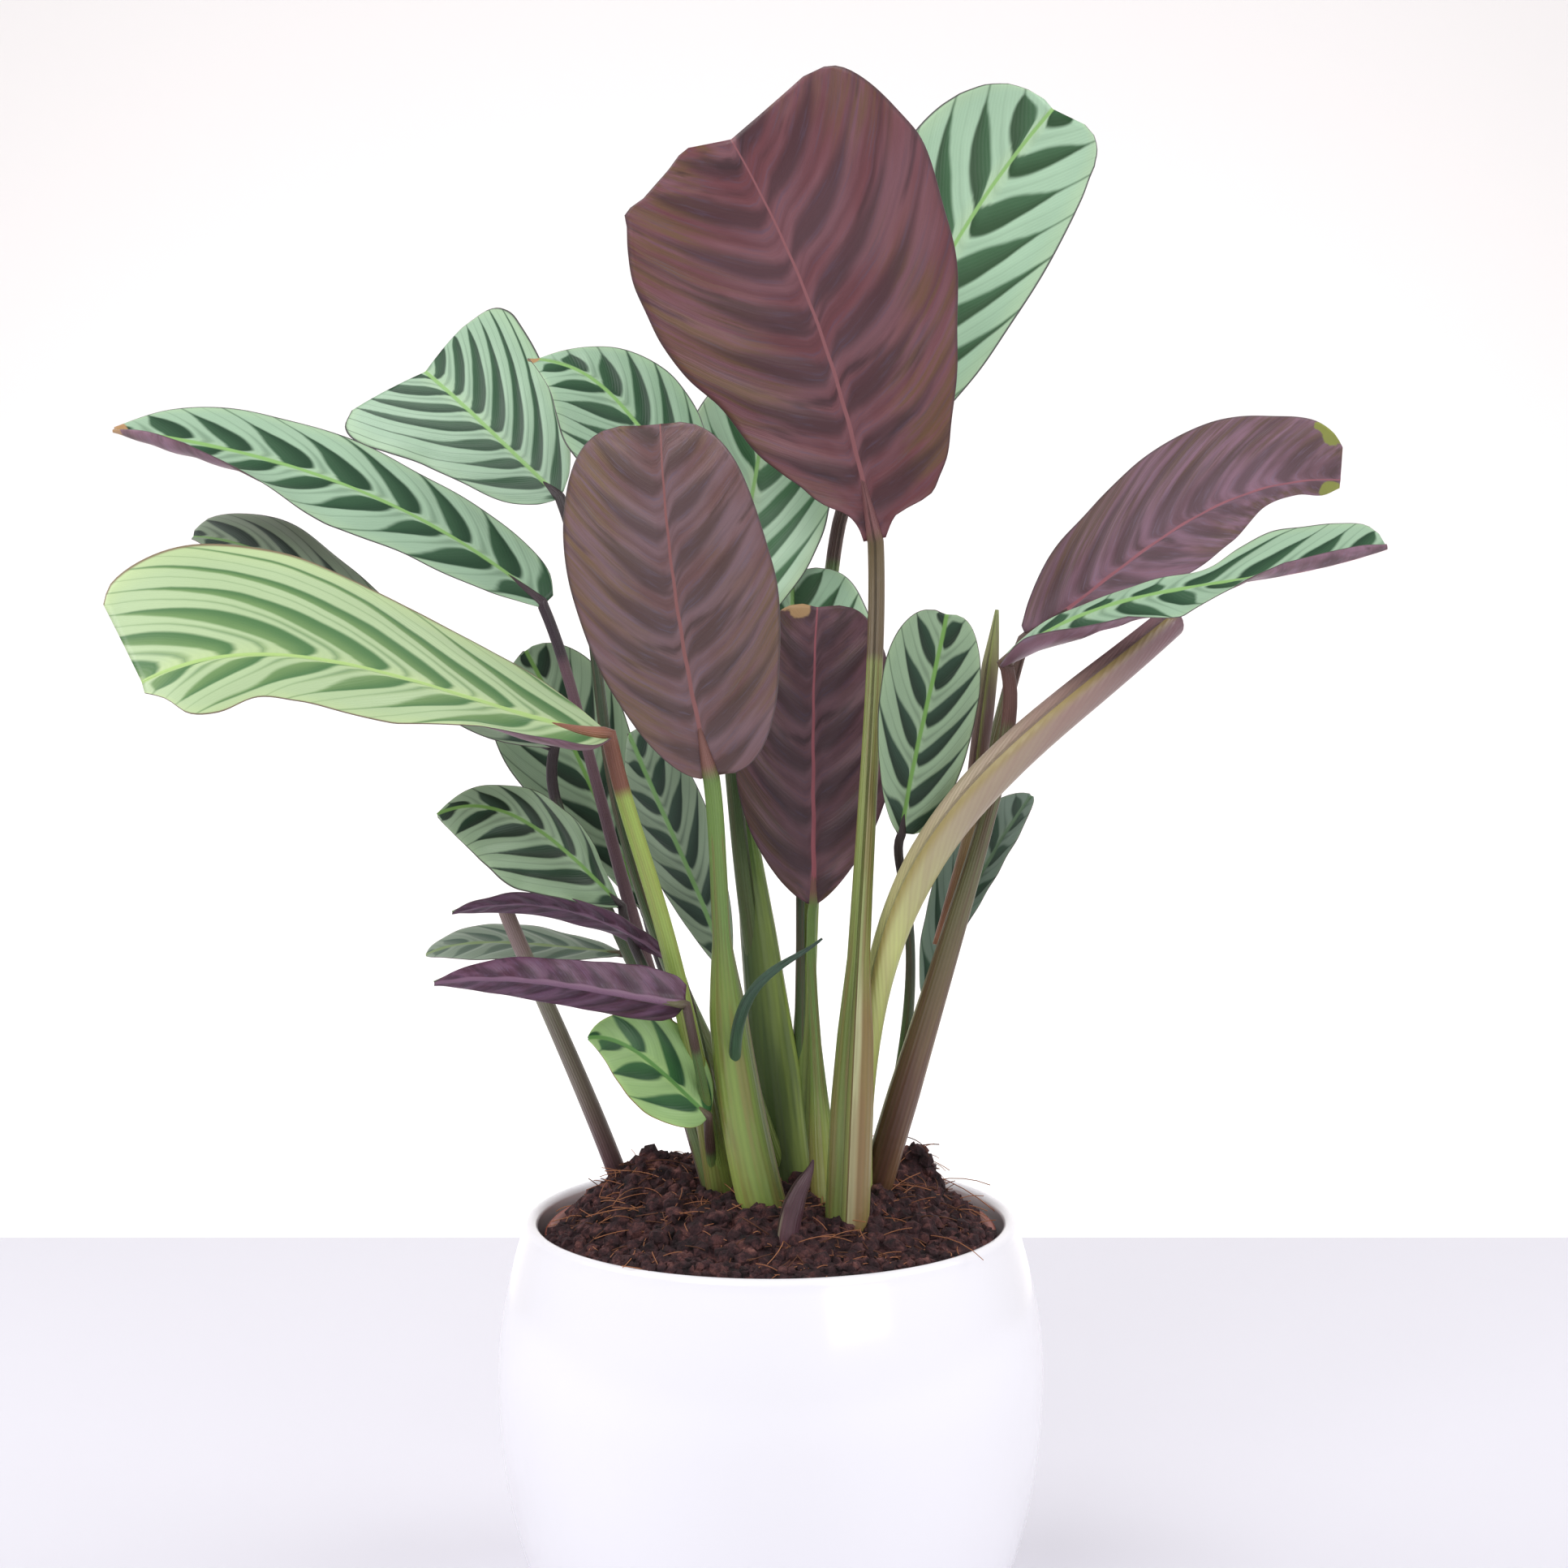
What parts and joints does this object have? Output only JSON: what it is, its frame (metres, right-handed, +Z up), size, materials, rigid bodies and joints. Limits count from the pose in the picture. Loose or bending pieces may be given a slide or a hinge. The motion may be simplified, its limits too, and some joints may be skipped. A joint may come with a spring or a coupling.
{
  "type": "potted plant",
  "caption": "Potted ctenanthe with herringbone patterned leaves, purple beneath, in a nursery pot inside a rounded white glazed cover pot.",
  "frame": {"origin": "middle of the flat foot of the cover pot, on the surface it stands on", "axes": "+Z up, +Y away from the viewer of the plant's best side, +X to that viewer's right"},
  "size_m": [0.3241, 0.1803, 0.4299],
  "materials": {
    "leaf": "satin",
    "stalk": "satin",
    "soil": "matt",
    "nursery_pot": "satin",
    "cover_pot": "gloss"
  },
  "bodies": {
    "root": {"shoot_front": "leaf", "shoot_middle": "leaf", "shoot_right": "leaf", "shoot_left": "leaf", "shoot_back": "leaf", "shoot_far_right": "leaf", "cut_stalk": "stalk", "bud": "stalk", "soil": "soil", "nursery_pot": "nursery_pot", "cover_pot": "cover_pot"}
  },
  "joints": []
}
